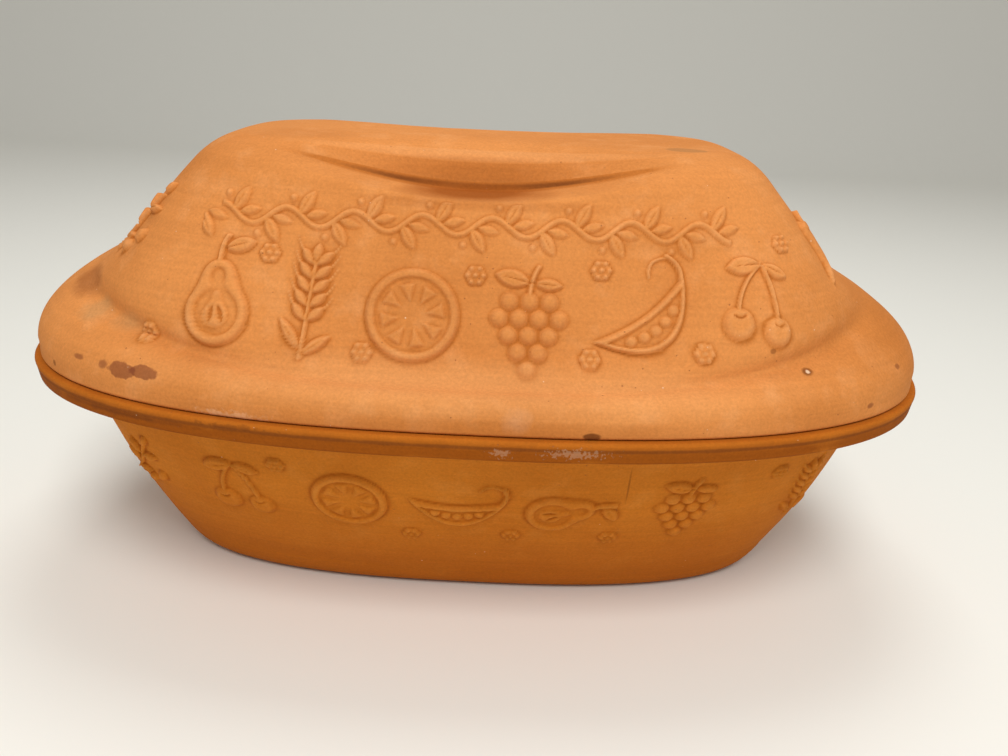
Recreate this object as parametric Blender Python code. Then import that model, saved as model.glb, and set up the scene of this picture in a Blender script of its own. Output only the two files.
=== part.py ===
"""Clay roaster: an oblong dish and its domed lid, both of unglazed clay.

Each piece is lofted from rings. A ring takes its half-length from the section through the
ends and its half-width from the section through the sides. The lid has a third section,
through its middle, which cuts the two finger hollows beside the ridge on top. Then both
walls get their relief, a frieze of fruit and plants in flat-topped forms with few faces.
"""
import math

import bmesh
import bpy
from mathutils import Matrix, Vector
from mathutils.bvhtree import BVHTree
from mathutils.geometry import interpolate_bezier

# Driving dimensions, in metres. "End" sizes run along X and "side" sizes along Y.

# Rim of the dish, and the raised step inside it that the lid drops round.
RIM_HALF_LENGTH = 0.1924
RIM_HALF_WIDTH = 0.1220
RIM_SQUARENESS = 2.52
RIM_DEPTH = 0.0083
SEAT_HEIGHT = 0.1020
STEP_RISE = 0.0025
EDGE_ROUND = 0.0012

# Walls, floor and foot of the dish.
DISH_WALL = 0.0080
DISH_FLOOR = 0.0085
DISH_SQUARENESS = 2.57
END_OVERHANG = 0.0192
SIDE_OVERHANG = 0.0200
END_LEAN = 0.0307
SIDE_LEAN = 0.0406
DISH_BOW = 0.12
FOOT_ROUND_WIDTH = 0.0142
FOOT_ROUND_HEIGHT = 0.0125
FILLET_WIDTH = 0.0060
FILLET_HEIGHT = 0.0040

# How the lid sits on the dish.
LID_SETBACK = 0.0024
SEAT_WIDTH = 0.0095
SEAT_GAP = 0.0003
STEP_CLEARANCE = 0.0015

# Rim, ears and wall of the lid. A reach is measured in from the rim, a rise up from the seat.
# The corner inset keeps the wall thick at its four corners: it is how much further in the
# inside turns from the rim's outline to the wall's.
RIM_FACE_RISE = 0.0065
END_CORNER_REACH = 0.0185
END_CORNER_RISE = 0.0315
SIDE_CORNER_REACH = 0.0077
SIDE_CORNER_RISE = 0.0133
END_FOOT_REACH = 0.0510
END_FOOT_RISE = 0.0540
SIDE_FOOT_REACH = 0.0200
SIDE_FOOT_RISE = 0.0240
END_SHOULDER_REACH = 0.0711
END_SHOULDER_RISE = 0.0795
SIDE_SHOULDER_REACH = 0.0477
SIDE_SHOULDER_RISE = 0.0800
LID_WALL = 0.0080
LID_CORNER_INSET = 0.0030
LID_SQUARENESS = 3.80
LID_BOW = 0.06

# Top of the lid, its ridge, and the hollow on each side of the ridge.
LID_RISE = 0.0915
TOP_CROWN = 0.0006
SHOULDER_WIDTH = 0.0230
TOP_HALF_LENGTH = 0.0600
TOP_HALF_WIDTH = 0.0240
RIDGE_HALF_WIDTH = 0.0480
RIDGE_LEAN = 0.0045
RIDGE_EDGE_DROP = 0.0080
RIDGE_EDGE_ROUND = 0.0035
RIDGE_TOP_SLOPE = 0.35
RIDGE_TOP_HALF_WIDTH = 0.0140
HOLLOW_DEPTH = 0.0175
HOLLOW_LIP_REACH = 0.0403
HOLLOW_LIP_DROP = 0.0012
HOLLOW_LIP_ROUND = 0.0020
CREASE_ROUND = 0.0015
HOLLOW_HALF_LENGTH = 0.0800

# Relief on the walls: how far it stands out, how deep its forms are rooted in the wall, and the
# small steps in both that keep forms that overlap out of one plane. Then how much smaller a
# form's top is than its foot, and how wide a stalk is, as shares of their motif's half height.
FRIEZE_RISE = 0.0017
BORDER_RISE = 0.0010
RELIEF_ROOT = 0.0012
RELIEF_STEP = 0.00004
RELIEF_STEPS = 5
RELIEF_DRAW_IN = 0.03
STALK_HALF_WIDTH = 0.05

# The running border on the lid: how high up the wall it lies, its wave's length, how many waves
# it has to each side of the middle, and how far its stem swings, as a share of a wave.
BORDER_SHARE = 0.745
BORDER_WAVE = 0.0250
BORDER_WAVES = 4
BORDER_SWING = 0.12

# How fast a ring climbs towards its ends, and how fast a hollow dies away along the lid.
END_CLIMB_POWER = 3
HOLLOW_FADE_POWER = 1.5

# Share of a curve's span that each of its handles takes.
HANDLE = 0.37

# How finely each piece is divided, round its rings and along its sections.
SEGMENTS = 64
WALL_RINGS = 6
OUTER_RINGS_PER_INNER = 2
ROUND_RINGS = 4
FILLET_RINGS = 3
FLAT_RINGS = 2
LIP_RINGS = 2
LEDGE_RINGS = 3
BEVEL_RINGS = 1
RIDGE_WALL_RINGS = 3
RIDGE_TOP_RINGS = 4
OVAL_POINTS = 8
BERRY_POINTS = 6
LEAF_SHARES = (0.3, 0.7)
BLADE_SHARES = (0.5,)
SHARP_ANGLE = math.radians(40)

DISH_COLOUR = (0.47, 0.185, 0.065, 1.0)
LID_COLOUR = (0.56, 0.235, 0.09, 1.0)
CLAY_ROUGHNESS = 0.85

LID_HALF_LENGTH = RIM_HALF_LENGTH - LID_SETBACK
LID_HALF_WIDTH = RIM_HALF_WIDTH - LID_SETBACK
RIM_UNDERSIDE = SEAT_HEIGHT - RIM_DEPTH
DISH_WALL_TOP = RIM_UNDERSIDE - FILLET_HEIGHT
HOLLOW_LEDGE = LID_RISE - HOLLOW_DEPTH

# The shoulder and the flat beside it have a ring for each one of the hollow and the ridge.
RIDGE_RINGS = BEVEL_RINGS + RIDGE_WALL_RINGS + BEVEL_RINGS + RIDGE_TOP_RINGS
SHOULDER_RINGS = LIP_RINGS + LEDGE_RINGS + RIDGE_RINGS - FLAT_RINGS

# Far enough out for a line towards a wall to start outside it.
OUTSIDE = 2 * RIM_HALF_LENGTH

INWARD = Vector((-1, 0))
UPWARD = Vector((0, 1))


def curve(start, leave, end, arrive, count):
    """Give count points after start, on a curve that leaves and arrives in two directions."""
    reach = (end - start).length * HANDLE
    leave_handle = start + leave.normalized() * reach
    arrive_handle = end - arrive.normalized() * reach
    points = interpolate_bezier(start, leave_handle, arrive_handle, end, count + 1)
    return [Vector(p[:2]) for p in points[1:]]


def line(start, end, count):
    """Give count points after start, on a straight line."""
    return [start.lerp(end, (i + 1) / count) for i in range(count)]


def bowed(foot, top, bow):
    """Give the directions that a wall from foot to top leaves and arrives in."""
    chord = (top - foot).normalized()
    return chord + Vector((bow, 0)), chord - Vector((bow, 0))


def inset(section, wall):
    """Move a section's points square to it, to the inner face of a wall."""
    moved = []
    for i, point in enumerate(section):
        before = section[max(i - 1, 0)]
        after = section[min(i + 1, len(section) - 1)]
        along = (after - before).normalized()
        moved.append(point - wall * Vector((along.y, -along.x)))
    return moved


def keep_shrinking(section):
    """Hold back the points that an inset round a tight corner would send outward again."""
    reach = section[0].x
    kept = []
    for point in section:
        reach = min(reach, point.x)
        kept.append(Vector((reach, point.y)))
    return kept


def dish_outside(rim, overhang, lean):
    """Trace the dish from the edge of its flat foot to the top of its wall."""
    top = Vector((rim - overhang, DISH_WALL_TOP))
    wall_foot = Vector((top.x - lean, FOOT_ROUND_HEIGHT))
    foot = Vector((wall_foot.x - FOOT_ROUND_WIDTH, 0))
    leave, arrive = bowed(wall_foot, top, DISH_BOW)
    rounded = curve(foot, -INWARD, wall_foot, leave, ROUND_RINGS)
    return [foot] + rounded + curve(wall_foot, leave, top, arrive, WALL_RINGS)


def dish_rim(rim, wall_top):
    """Trace the rim from the fillet under it to the step inside the lid's seat."""
    fillet_end = Vector((wall_top.x + FILLET_WIDTH, RIM_UNDERSIDE))
    step = rim - LID_SETBACK - SEAT_WIDTH - STEP_CLEARANCE
    return curve(wall_top, UPWARD, fillet_end, -INWARD, FILLET_RINGS) + [
        Vector((rim - EDGE_ROUND, RIM_UNDERSIDE)),
        Vector((rim, RIM_UNDERSIDE + EDGE_ROUND)),
        Vector((rim, SEAT_HEIGHT - EDGE_ROUND)),
        Vector((rim - EDGE_ROUND, SEAT_HEIGHT)),
        Vector((step, SEAT_HEIGHT)),
        Vector((step, SEAT_HEIGHT + STEP_RISE)),
    ]


def dish_section(rim, overhang, lean):
    """Trace the whole dish, from its foot over its rim and down inside to its floor."""
    outside = dish_outside(rim, overhang, lean)
    inside = inset(outside, DISH_WALL)
    for point in inside:
        point.y = max(point.y, DISH_FLOOR)
    mouth = inside[-1].x
    step_top = SEAT_HEIGHT + STEP_RISE
    lip = [Vector((mouth + EDGE_ROUND, step_top)), Vector((mouth, step_top - EDGE_ROUND))]
    return outside + dish_rim(rim, outside[-1]) + lip + inside[::-1]


def lid_edge(rim, corner, slope, wall_foot, leave):
    """Trace the lid from the outer edge of its seat, over its rim and ear, to its wall."""
    face = Vector((rim, RIM_FACE_RISE))
    edge = [Vector((rim - EDGE_ROUND, 0)), Vector((rim, EDGE_ROUND)), face]
    edge += curve(face, UPWARD, corner, slope, ROUND_RINGS)
    return edge + curve(corner, slope, wall_foot, leave, ROUND_RINGS)


def lid_shoulder(start, arrive, top_half):
    """Trace the lid's shoulder and the flat of its top, after the top of its wall."""
    level = Vector((start.x - SHOULDER_WIDTH, LID_RISE - TOP_CROWN))
    flat = Vector((top_half, LID_RISE))
    shoulder = curve(start, arrive, level, INWARD, SHOULDER_RINGS)
    return shoulder + curve(level, INWARD, flat, INWARD, FLAT_RINGS)


def lid_hollow(lip, arrive):
    """Trace the hollow's lip, ledge and crease, and the ridge, after the top of the wall."""
    lip_end = Vector((lip.x - HOLLOW_LIP_ROUND, HOLLOW_LEDGE))
    crease = Vector((RIDGE_HALF_WIDTH + CREASE_ROUND, HOLLOW_LEDGE))
    ridge = Vector((RIDGE_HALF_WIDTH, HOLLOW_LEDGE + CREASE_ROUND))
    edge = Vector((RIDGE_HALF_WIDTH - RIDGE_LEAN, LID_RISE - RIDGE_EDGE_DROP))
    edge_end = edge + RIDGE_EDGE_ROUND * (INWARD + UPWARD)
    flat = Vector((RIDGE_TOP_HALF_WIDTH, LID_RISE))
    lean = edge - ridge
    slope = INWARD + RIDGE_TOP_SLOPE * UPWARD
    section = curve(lip, arrive, lip_end, INWARD, LIP_RINGS)
    section += line(lip_end, crease, LEDGE_RINGS)
    section += curve(crease, INWARD, ridge, lean, BEVEL_RINGS)
    section += line(ridge, edge, RIDGE_WALL_RINGS)
    section += curve(edge, lean, edge_end, slope, BEVEL_RINGS)
    return section + curve(edge_end, slope, flat, INWARD, RIDGE_TOP_RINGS)


def lid_section(rim, corner, slope, wall_foot, wall_top, top_half=None):
    """Trace the whole lid, from its top down outside, across its seat and up inside."""
    leave, arrive = bowed(wall_foot, wall_top, LID_BOW)
    wall = [wall_foot] + curve(wall_foot, leave, wall_top, arrive, WALL_RINGS)
    if top_half is None:
        upper = wall + lid_hollow(wall_top, arrive)
    else:
        upper = wall + lid_shoulder(wall_top, arrive, top_half)
    edge = lid_edge(rim, corner, slope, wall_foot, leave)
    inner = keep_shrinking(inset(upper, LID_WALL))[::OUTER_RINGS_PER_INNER]
    seat = Vector((rim - SEAT_WIDTH, 0))
    inner_ear = curve(seat, UPWARD, inner[0], inner[1] - inner[0], ROUND_RINGS)
    return (edge + upper[1:])[::-1] + [seat] + inner_ear + inner[1:]


def ring(end, side, middle, squareness):
    """Place one ring of points from its end, side and middle section points."""
    points = []
    for i in range(SEGMENTS):
        turn = 2 * math.pi * i / SEGMENTS
        c, s = math.cos(turn), math.sin(turn)
        scale = (abs(c) ** squareness + abs(s) ** squareness) ** (-1 / squareness)
        x, y = end.x * scale * c, side.x * scale * s
        z = side.y + (end.y - side.y) * abs(x / end.x) ** END_CLIMB_POWER
        hollow = max(0, 1 - (x / HOLLOW_HALF_LENGTH) ** 2) ** HOLLOW_FADE_POWER
        y *= 1 + hollow * (middle.x / side.x - 1)
        z += hollow * (middle.y - side.y)
        points.append((x, y, z))
    return points


def blend(place, start, end, start_value, end_value):
    """Change smoothly from one value to another between two places."""
    share = min(max((place - start) / (end - start), 0), 1)
    return start_value + (end_value - start_value) * share * share * (3 - 2 * share)


def clay(name, colour):
    """Make a matt clay material."""
    material = bpy.data.materials.new(name)
    material.use_nodes = True
    shader = material.node_tree.nodes["Principled BSDF"]
    shader.inputs["Base Color"].default_value = colour
    shader.inputs["Roughness"].default_value = CLAY_ROUGHNESS
    shader.inputs["Metallic"].default_value = 0.0
    return material


def loft(name, rings, material, height):
    """Join rings into one closed piece, capped at both ends, and place it at a height."""
    shape = bmesh.new()
    loops = [[shape.verts.new(point) for point in points] for points in rings]
    for first, second in zip(loops, loops[1:]):
        join(shape, first, second)
    shape.faces.new(loops[0])
    shape.faces.new(loops[-1])
    bmesh.ops.recalc_face_normals(shape, faces=shape.faces)
    return finish(name, shape, material, height)


def join(shape, first, second):
    """Join two loops of as many points with faces."""
    for i in range(len(first)):
        j = (i + 1) % len(first)
        shape.faces.new((first[i], first[j], second[j], second[i]))


def cap(shape, loop):
    """Close a loop of an even number of points with triangles across it."""
    for i in range(len(loop) // 2 - 1):
        a, b, c, d = loop[i], loop[i + 1], loop[-i - 2], loop[-i - 1]
        shape.faces.new((a, b, c))
        shape.faces.new((a, c, d))


def finish(name, shape, material, height):
    """Make an object of a shape, shaded smooth but for its sharp edges."""
    mesh = bpy.data.meshes.new(name)
    shape.to_mesh(mesh)
    shape.free()
    mesh.shade_smooth()
    mesh.set_sharp_from_angle(angle=SHARP_ANGLE)
    mesh.materials.append(material)
    piece = bpy.data.objects.new(name, mesh)
    piece.location.z = height
    bpy.context.scene.collection.objects.link(piece)
    return piece


def oval(x, y, half_across, half_up, tilt=0, count=OVAL_POINTS, rise=0.8):
    """Outline an oval form, as the loops of its foot and its top and its rise."""
    turn = Matrix.Rotation(math.radians(tilt), 2)
    loops = []
    for drawn in (0, RELIEF_DRAW_IN):
        loop = []
        for i in range(count):
            angle = 2 * math.pi * i / count
            across = (half_across - drawn) * math.cos(angle)
            up = (half_up - drawn) * math.sin(angle)
            loop.append(Vector((x, y)) + turn @ Vector((across, up)))
        loops.append(loop)
    return loops[0], loops[1], rise


def berry(x, y, radius):
    """Outline a small round form."""
    return oval(x, y, radius, radius, 0, BERRY_POINTS)


def leaf(start, end, half_width, shares=LEAF_SHARES):
    """Outline a leaf, pointed at its start and its end and widest at some shares of its way."""
    start, end = Vector(start), Vector(end)
    along = (end - start).normalized()
    across = Vector((-along.y, along.x))
    loops = []
    for drawn in (0, RELIEF_DRAW_IN):
        tip = 2 * drawn * along
        side = (half_width - drawn) * across
        right = [start.lerp(end, share) - side for share in shares]
        left = [start.lerp(end, share) + side for share in shares]
        loops.append([start + tip] + right + [end - tip] + left[::-1])
    return loops[0], loops[1], 0.7


def blade(start, end, half_width):
    """Outline a plainer leaf, widest at its middle."""
    return leaf(start, end, half_width, BLADE_SHARES)


def strip(points, widths, rise):
    """Outline a form along a line, with a half-width at each of its points."""
    points = [Vector(point) for point in points]
    loops = []
    for drawn in (0, RELIEF_DRAW_IN):
        left, right = [], []
        for i, point in enumerate(points):
            along = (points[min(i + 1, len(points) - 1)] - points[max(i - 1, 0)]).normalized()
            side = (widths[i] - drawn) * Vector((-along.y, along.x))
            left.append(point + side)
            right.append(point - side)
        loops.append(right + left[::-1])
    return loops[0], loops[1], rise


def stalk(points):
    """Outline a thin form along a line."""
    return strip(points, [STALK_HALF_WIDTH] * len(points), 0.6)


def bend(start, control, end, count=3):
    """Give points on a bend from start to end, drawn towards a control point."""
    start, control, end = Vector(start), Vector(control), Vector(end)
    shares = [i / (count - 1) for i in range(count)]
    return [start.lerp(control, t).lerp(control.lerp(end, t), t) for t in shares]


def pear():
    """Outline a pear with its stalk and a leaf."""
    spine = [(0, -0.94), (0, -0.80), (0, -0.38), (0.02, 0.14), (0.03, 0.52)]
    return [
        strip(spine, [0.22, 0.42, 0.56, 0.31, 0.20], 0.8),
        stalk([(0.03, 0.44), (0.06, 0.78), (0.16, 0.95)]),
        leaf((0.10, 0.72), (0.66, 0.84), 0.15),
    ]


def lemon():
    """Outline a round slice of lemon."""
    return [oval(0, 0, 0.84, 0.84, 0, 14)]


def grapes():
    """Outline a bunch of grapes that hangs from a stalk with two leaves."""
    forms = [stalk([(0, 0.40), (0.03, 0.74), (0.14, 0.94)])]
    forms += [leaf((0.02, 0.66), (-0.62, 0.80), 0.17), leaf((0.06, 0.66), (0.58, 0.62), 0.12)]
    for row, count in enumerate((3, 4, 3, 2, 1)):
        for place in range(count):
            x = (place - (count - 1) / 2) * 0.34
            forms.append(berry(x, 0.34 - row * 0.29, 0.165))
    return forms


def wheat():
    """Outline an ear of wheat with two blades at its stalk."""
    forms = [stalk([(0, -0.98), (0, 0.70)])]
    for row in range(5):
        y = -0.34 + row * 0.24
        for side in (-1, 1):
            forms.append(blade((side * 0.01, y), (side * 0.28, y + 0.30), 0.10))
    forms += [blade((0, 0.66), (0, 1.04), 0.11), blade((0, -0.86), (-0.46, -0.32), 0.11)]
    return forms + [blade((0, -0.92), (0.48, -0.50), 0.11)]


def olive():
    """Outline an olive sprig with leaves on both sides and two olives."""
    stem = bend((-0.62, -0.80), (-0.02, -0.20), (0.30, 0.72), 5)
    forms = [stalk(stem), leaf(stem[4], (0.46, 1.08), 0.10)]
    for number, side in ((1, 1), (2, -1), (3, 1), (3, -1)):
        x, y = stem[number]
        tip = (x + 0.52, y + 0.12) if side > 0 else (x - 0.30, y + 0.46)
        forms.append(leaf((x, y), tip, 0.11))
    return forms + [oval(0.12, -0.62, 0.22, 0.16, 30), oval(0.56, -0.30, 0.21, 0.15, 60)]


def pepper():
    """Outline a curved pepper pod that hangs from its cap."""
    spine = bend((0.02, 0.45), (0.12, -0.50), (-0.42, -0.92), 5)
    return [
        strip(spine, [0.33, 0.29, 0.22, 0.14, 0.05], 0.8),
        oval(0.02, 0.58, 0.31, 0.15, 4),
        stalk([(0.03, 0.62), (0.06, 0.82), (0.20, 0.98)]),
    ]


def pod():
    """Outline an open pea pod with its peas and stalk."""
    spine = bend((-0.98, 0.20), (0.0, -0.80), (0.98, 0.20), 7)
    forms = [
        strip(spine, [0.05, 0.18, 0.28, 0.32, 0.28, 0.18, 0.05], 0.5),
        stalk([(0.90, 0.12), (1.02, 0.34), (0.92, 0.60)]),
    ]
    return forms + [berry(x, 0.52 * x * x - 0.30, 0.12) for x in (-0.44, -0.22, 0, 0.22, 0.44)]


def cherries():
    """Outline two cherries that hang from two leaves."""
    forms = [leaf((0.10, 0.74), (-0.62, 0.62), 0.19), leaf((0.12, 0.74), (0.66, 0.50), 0.14)]
    for x, y, radius in ((-0.40, -0.44, 0.33), (0.38, -0.56, 0.30)):
        hanging = bend((x, y + 0.22), (x * 0.9, 0.34), (0.10, 0.74))
        forms += [oval(x, y, radius, radius), stalk(hanging)]
    return forms


def rosette():
    """Outline a small flower."""
    return [oval(0, 0, 0.85, 0.85, 0, BERRY_POINTS)]


def vine():
    """Outline a running vine with its leaves, in units of its wave."""
    stem, leaves = [], []
    for step in range(-2 * BORDER_WAVES, 2 * BORDER_WAVES):
        side = -1 if step % 2 == 0 else 1
        x = step / 2
        stem.append((x + 0.25, -side * BORDER_SWING))
        leaves.append(blade((x - 0.06, side * 0.02), (x + 0.16, side * 0.36), 0.10))
    return [stalk(stem)] + leaves


# The friezes: a motif, its turn about the roaster and tilt in degrees, its height up the wall as
# a share, and its half height in metres. The back of each piece repeats the front.
LID_FRIEZE = (
    (olive, -157.8, 8, 0.585, 0.0180),
    (pear, -135.6, 6, 0.28, 0.0215),
    (wheat, -121.8, -6, 0.25, 0.0210),
    (lemon, -102.3, 0, 0.20, 0.0205),
    (grapes, -77.7, 0, 0.195, 0.0210),
    (pod, -56.4, 38, 0.25, 0.0215),
    (cherries, -39.5, -4, 0.35, 0.0195),
    (pepper, -19.5, -6, 0.58, 0.0170),
    (rosette, -143.4, 0, -0.03, 0.0046),
    (rosette, -130.8, 0, 0.52, 0.0046),
    (rosette, -110.8, 0, -0.03, 0.0046),
    (rosette, -89.3, 0, 0.455, 0.0046),
    (rosette, -66.7, 0, -0.01, 0.0046),
    (rosette, -62.3, 0, 0.51, 0.0046),
    (rosette, -49.2, 0, 0.045, 0.0046),
    (rosette, -30.9, 0, 0.67, 0.0046),
    (cherries, 0, 0, 0.753, 0.0120),
)
DISH_FRIEZE = (
    (olive, -157, -14, 0.60, 0.0175),
    (cherries, -139, 4, 0.60, 0.0190),
    (lemon, -118, 0, 0.60, 0.0185),
    (pod, -92, 0, 0.60, 0.0200),
    (pear, -65, -70, 0.60, 0.0190),
    (grapes, -43, 0, 0.60, 0.0190),
    (wheat, -22, 12, 0.60, 0.0185),
    (lemon, 0, 0, 0.60, 0.0170),
    (rosette, -129, 0, 0.80, 0.0044),
    (rosette, -106, 0, 0.36, 0.0044),
    (rosette, -77, 0, 0.38, 0.0044),
    (rosette, -53, 0, 0.38, 0.0044),
    (rosette, -31, 0, 0.80, 0.0044),
)


def press(shape, wall, forms, frame, rise):
    """Press forms onto a wall, along a frame's third axis."""
    towards = (frame @ Vector((0, 0, 1, 0))).to_3d().normalized()
    for number, (foot, top, share) in enumerate(forms):
        step = RELIEF_STEP * (number % RELIEF_STEPS)
        loops = []
        for outline, height in ((foot, -RELIEF_ROOT - step), (top, rise * share + step)):
            loop = []
            for point in outline:
                start = frame @ point.to_3d() + OUTSIDE * towards
                place, out, _, _ = wall.ray_cast(start, -towards)
                loop.append(shape.verts.new(place + height * out))
            loops.append(loop)
        join(shape, loops[0], loops[1])
        cap(shape, loops[0][::-1])
        cap(shape, loops[1])


def facing(wall, turn, height, size, tilt):
    """Give the frame of a motif that faces out from a wall at a turn and a height."""
    outward = Vector((math.cos(math.radians(turn)), math.sin(math.radians(turn)), 0))
    level = Vector((0, 0, height))
    place, out, _, _ = wall.ray_cast(level + OUTSIDE * outward, -outward)
    across = Vector((0, 0, 1)).cross(out).normalized()
    axes = Matrix((across, out.cross(across), out)).transposed().to_4x4()
    tilted = Matrix.Rotation(math.radians(tilt), 4, "Z")
    return Matrix.Translation(place) @ axes @ tilted @ Matrix.Scale(size, 4)


def carve(piece, frieze, low, high, border=()):
    """Add a frieze and a border to a piece's wall, which rises from one height to another."""
    source = bmesh.new()
    source.from_mesh(piece.data)
    wall = BVHTree.FromBMesh(source)
    source.free()
    shape = bmesh.new()
    for back in (0, 180):
        for motif, turn, tilt, share, size in frieze:
            height = low + share * (high - low)
            press(shape, wall, motif(), facing(wall, turn + back, height, size, tilt), FRIEZE_RISE)
        level = Matrix.Translation((0, 0, low + BORDER_SHARE * (high - low)))
        spun = Matrix.Rotation(math.radians(back), 4, "Z")
        upright = Matrix.Rotation(math.radians(90), 4, "X")
        press(shape, wall, border, level @ spun @ upright @ Matrix.Scale(BORDER_WAVE, 4), BORDER_RISE)
    forms = finish(piece.name + "_relief", shape, piece.data.materials[0], piece.location.z)
    forms.hide_render = True
    forms.display_type = "WIRE"
    union = piece.modifiers.new("relief", "BOOLEAN")
    union.operation = "UNION"
    union.solver = "EXACT"
    union.use_self = True
    union.object = forms


def make_dish():
    """Build the dish, standing on the ground."""
    end = dish_section(RIM_HALF_LENGTH, END_OVERHANG, END_LEAN)
    side = dish_section(RIM_HALF_WIDTH, SIDE_OVERHANG, SIDE_LEAN)
    rings = []
    for e, s in zip(end, side):
        squareness = blend(s.y, DISH_WALL_TOP, RIM_UNDERSIDE, DISH_SQUARENESS, RIM_SQUARENESS)
        rings.append(ring(e, s, s, squareness))
    dish = loft("base_dish", rings, clay("dish_clay", DISH_COLOUR), 0)
    carve(dish, DISH_FRIEZE, FOOT_ROUND_HEIGHT, DISH_WALL_TOP)


def make_lid():
    """Build the lid, with its origin at its seat."""
    end_corner = Vector((LID_HALF_LENGTH - END_CORNER_REACH, END_CORNER_RISE))
    end_foot = Vector((LID_HALF_LENGTH - END_FOOT_REACH, END_FOOT_RISE))
    end_top = Vector((LID_HALF_LENGTH - END_SHOULDER_REACH, END_SHOULDER_RISE))
    ear_slope = end_foot - end_corner
    end = lid_section(LID_HALF_LENGTH, end_corner, ear_slope, end_foot, end_top, TOP_HALF_LENGTH)

    side_corner = Vector((LID_HALF_WIDTH - SIDE_CORNER_REACH, SIDE_CORNER_RISE))
    side_foot = Vector((LID_HALF_WIDTH - SIDE_FOOT_REACH, SIDE_FOOT_RISE))
    side_top = Vector((LID_HALF_WIDTH - SIDE_SHOULDER_REACH, SIDE_SHOULDER_RISE))
    side = lid_section(LID_HALF_WIDTH, side_corner, INWARD, side_foot, side_top, TOP_HALF_WIDTH)

    lip = Vector((LID_HALF_WIDTH - HOLLOW_LIP_REACH, HOLLOW_LEDGE - HOLLOW_LIP_DROP))
    middle = lid_section(LID_HALF_WIDTH, side_corner, INWARD, side_foot, lip)

    seat = LID_HALF_WIDTH - SEAT_WIDTH
    first_inside = side.index(Vector((seat, 0)))
    rings = []
    for i, (e, s, m) in enumerate(zip(end, side, middle)):
        place = s.x + LID_CORNER_INSET if i > first_inside else s.x
        squareness = blend(place, seat, side_foot.x, RIM_SQUARENESS, LID_SQUARENESS)
        rings.append(ring(e, s, m, squareness))
    lid = loft("lid", rings, clay("lid_clay", LID_COLOUR), SEAT_HEIGHT + SEAT_GAP)
    carve(lid, LID_FRIEZE, SIDE_FOOT_RISE, SIDE_SHOULDER_RISE, vine())


def main():
    """Clear the scene and build both pieces."""
    for item in list(bpy.data.objects):
        bpy.data.objects.remove(item)
    make_dish()
    make_lid()


main()
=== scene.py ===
"""Looks of the clay roaster: its carved dish and lid, and the studio that they stand in."""
import math

import bpy
import numpy as np
from mathutils import Matrix, Vector


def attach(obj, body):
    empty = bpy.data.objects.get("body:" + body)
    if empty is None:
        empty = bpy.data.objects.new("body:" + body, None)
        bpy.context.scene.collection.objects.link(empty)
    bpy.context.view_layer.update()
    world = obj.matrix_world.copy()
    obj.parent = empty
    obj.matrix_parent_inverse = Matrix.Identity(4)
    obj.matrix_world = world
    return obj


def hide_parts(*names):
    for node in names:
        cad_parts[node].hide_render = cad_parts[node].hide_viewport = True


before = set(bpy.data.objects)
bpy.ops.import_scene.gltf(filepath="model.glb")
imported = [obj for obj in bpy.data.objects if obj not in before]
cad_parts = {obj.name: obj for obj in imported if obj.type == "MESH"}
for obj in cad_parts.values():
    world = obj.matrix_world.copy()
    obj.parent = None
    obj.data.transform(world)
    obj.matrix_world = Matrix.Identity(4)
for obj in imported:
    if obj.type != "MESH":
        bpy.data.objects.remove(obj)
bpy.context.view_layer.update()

# The roaster's driving sizes in metres, as its CAD source has them. "End" sizes run along X
# and "side" sizes along Y.
RIM_HALF_LENGTH = 0.1924
RIM_HALF_WIDTH = 0.1220
RIM_SQUARENESS = 2.52
RIM_DEPTH = 0.0083
SEAT_HEIGHT = 0.1020
STEP_RISE = 0.0025
EDGE_ROUND = 0.0012
DISH_WALL = 0.0080
DISH_FLOOR = 0.0085
DISH_SQUARENESS = 2.57
END_OVERHANG = 0.0192
SIDE_OVERHANG = 0.0200
END_LEAN = 0.0307
SIDE_LEAN = 0.0406
DISH_BOW = 0.12
FOOT_ROUND_WIDTH = 0.0142
FOOT_ROUND_HEIGHT = 0.0125
FILLET_WIDTH = 0.0060
FILLET_HEIGHT = 0.0040
LID_SETBACK = 0.0024
SEAT_WIDTH = 0.0095
SEAT_GAP = 0.0003
STEP_CLEARANCE = 0.0015
RIM_FACE_RISE = 0.0065
END_CORNER_REACH = 0.0185
END_CORNER_RISE = 0.0315
SIDE_CORNER_REACH = 0.0077
SIDE_CORNER_RISE = 0.0133
END_FOOT_REACH = 0.0510
END_FOOT_RISE = 0.0540
SIDE_FOOT_REACH = 0.0200
SIDE_FOOT_RISE = 0.0240
END_SHOULDER_REACH = 0.0711
END_SHOULDER_RISE = 0.0795
SIDE_SHOULDER_REACH = 0.0477
SIDE_SHOULDER_RISE = 0.0800
LID_WALL = 0.0080
LID_SQUARENESS = 3.80
LID_CORNER_INSET = 0.0030
LID_BOW = 0.06
LID_RISE = 0.0915
TOP_CROWN = 0.0006
SHOULDER_WIDTH = 0.0230
TOP_HALF_LENGTH = 0.0600
TOP_HALF_WIDTH = 0.0240
RIDGE_HALF_WIDTH = 0.0480
RIDGE_LEAN = 0.0045
RIDGE_EDGE_DROP = 0.0080
RIDGE_EDGE_ROUND = 0.0035
RIDGE_TOP_SLOPE = 0.35
RIDGE_TOP_HALF_WIDTH = 0.0140
HOLLOW_DEPTH = 0.0175
HOLLOW_LIP_REACH = 0.0403
HOLLOW_LIP_DROP = 0.0012
HOLLOW_LIP_ROUND = 0.0020
CREASE_ROUND = 0.0015
HOLLOW_HALF_LENGTH = 0.0800
END_CLIMB_POWER = 3
HOLLOW_FADE_POWER = 1.5
HANDLE = 0.37

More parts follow.
